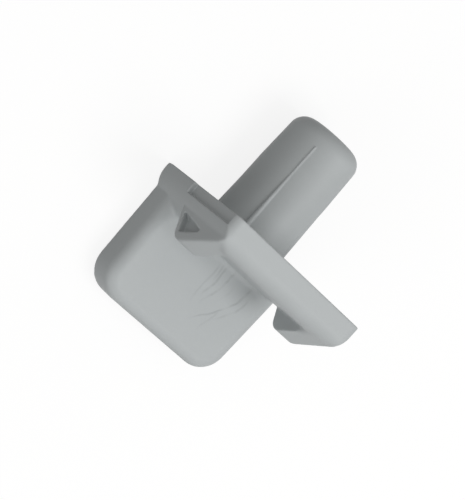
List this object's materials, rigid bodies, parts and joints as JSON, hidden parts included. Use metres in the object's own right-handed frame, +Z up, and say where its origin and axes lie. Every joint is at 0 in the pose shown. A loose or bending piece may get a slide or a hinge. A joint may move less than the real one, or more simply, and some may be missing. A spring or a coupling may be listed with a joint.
{
  "type": "shelf support pin",
  "caption": "Moulded shelf support with a ribbed round pin, a wall plate, a flat tab that carries the shelf and hooked barbs that hold the shelf down.",
  "frame": {"origin": "on the pin's axis, in the plate's wall face", "axes": "+Y along the pin into the wall, +Z up, +X along the plate's width"},
  "size_m": [0.0116, 0.0158, 0.0096],
  "materials": {
    "plastic": "satin light grey moulded plastic"
  },
  "bodies": {
    "root": {"shelf_support": "plastic"}
  },
  "joints": []
}
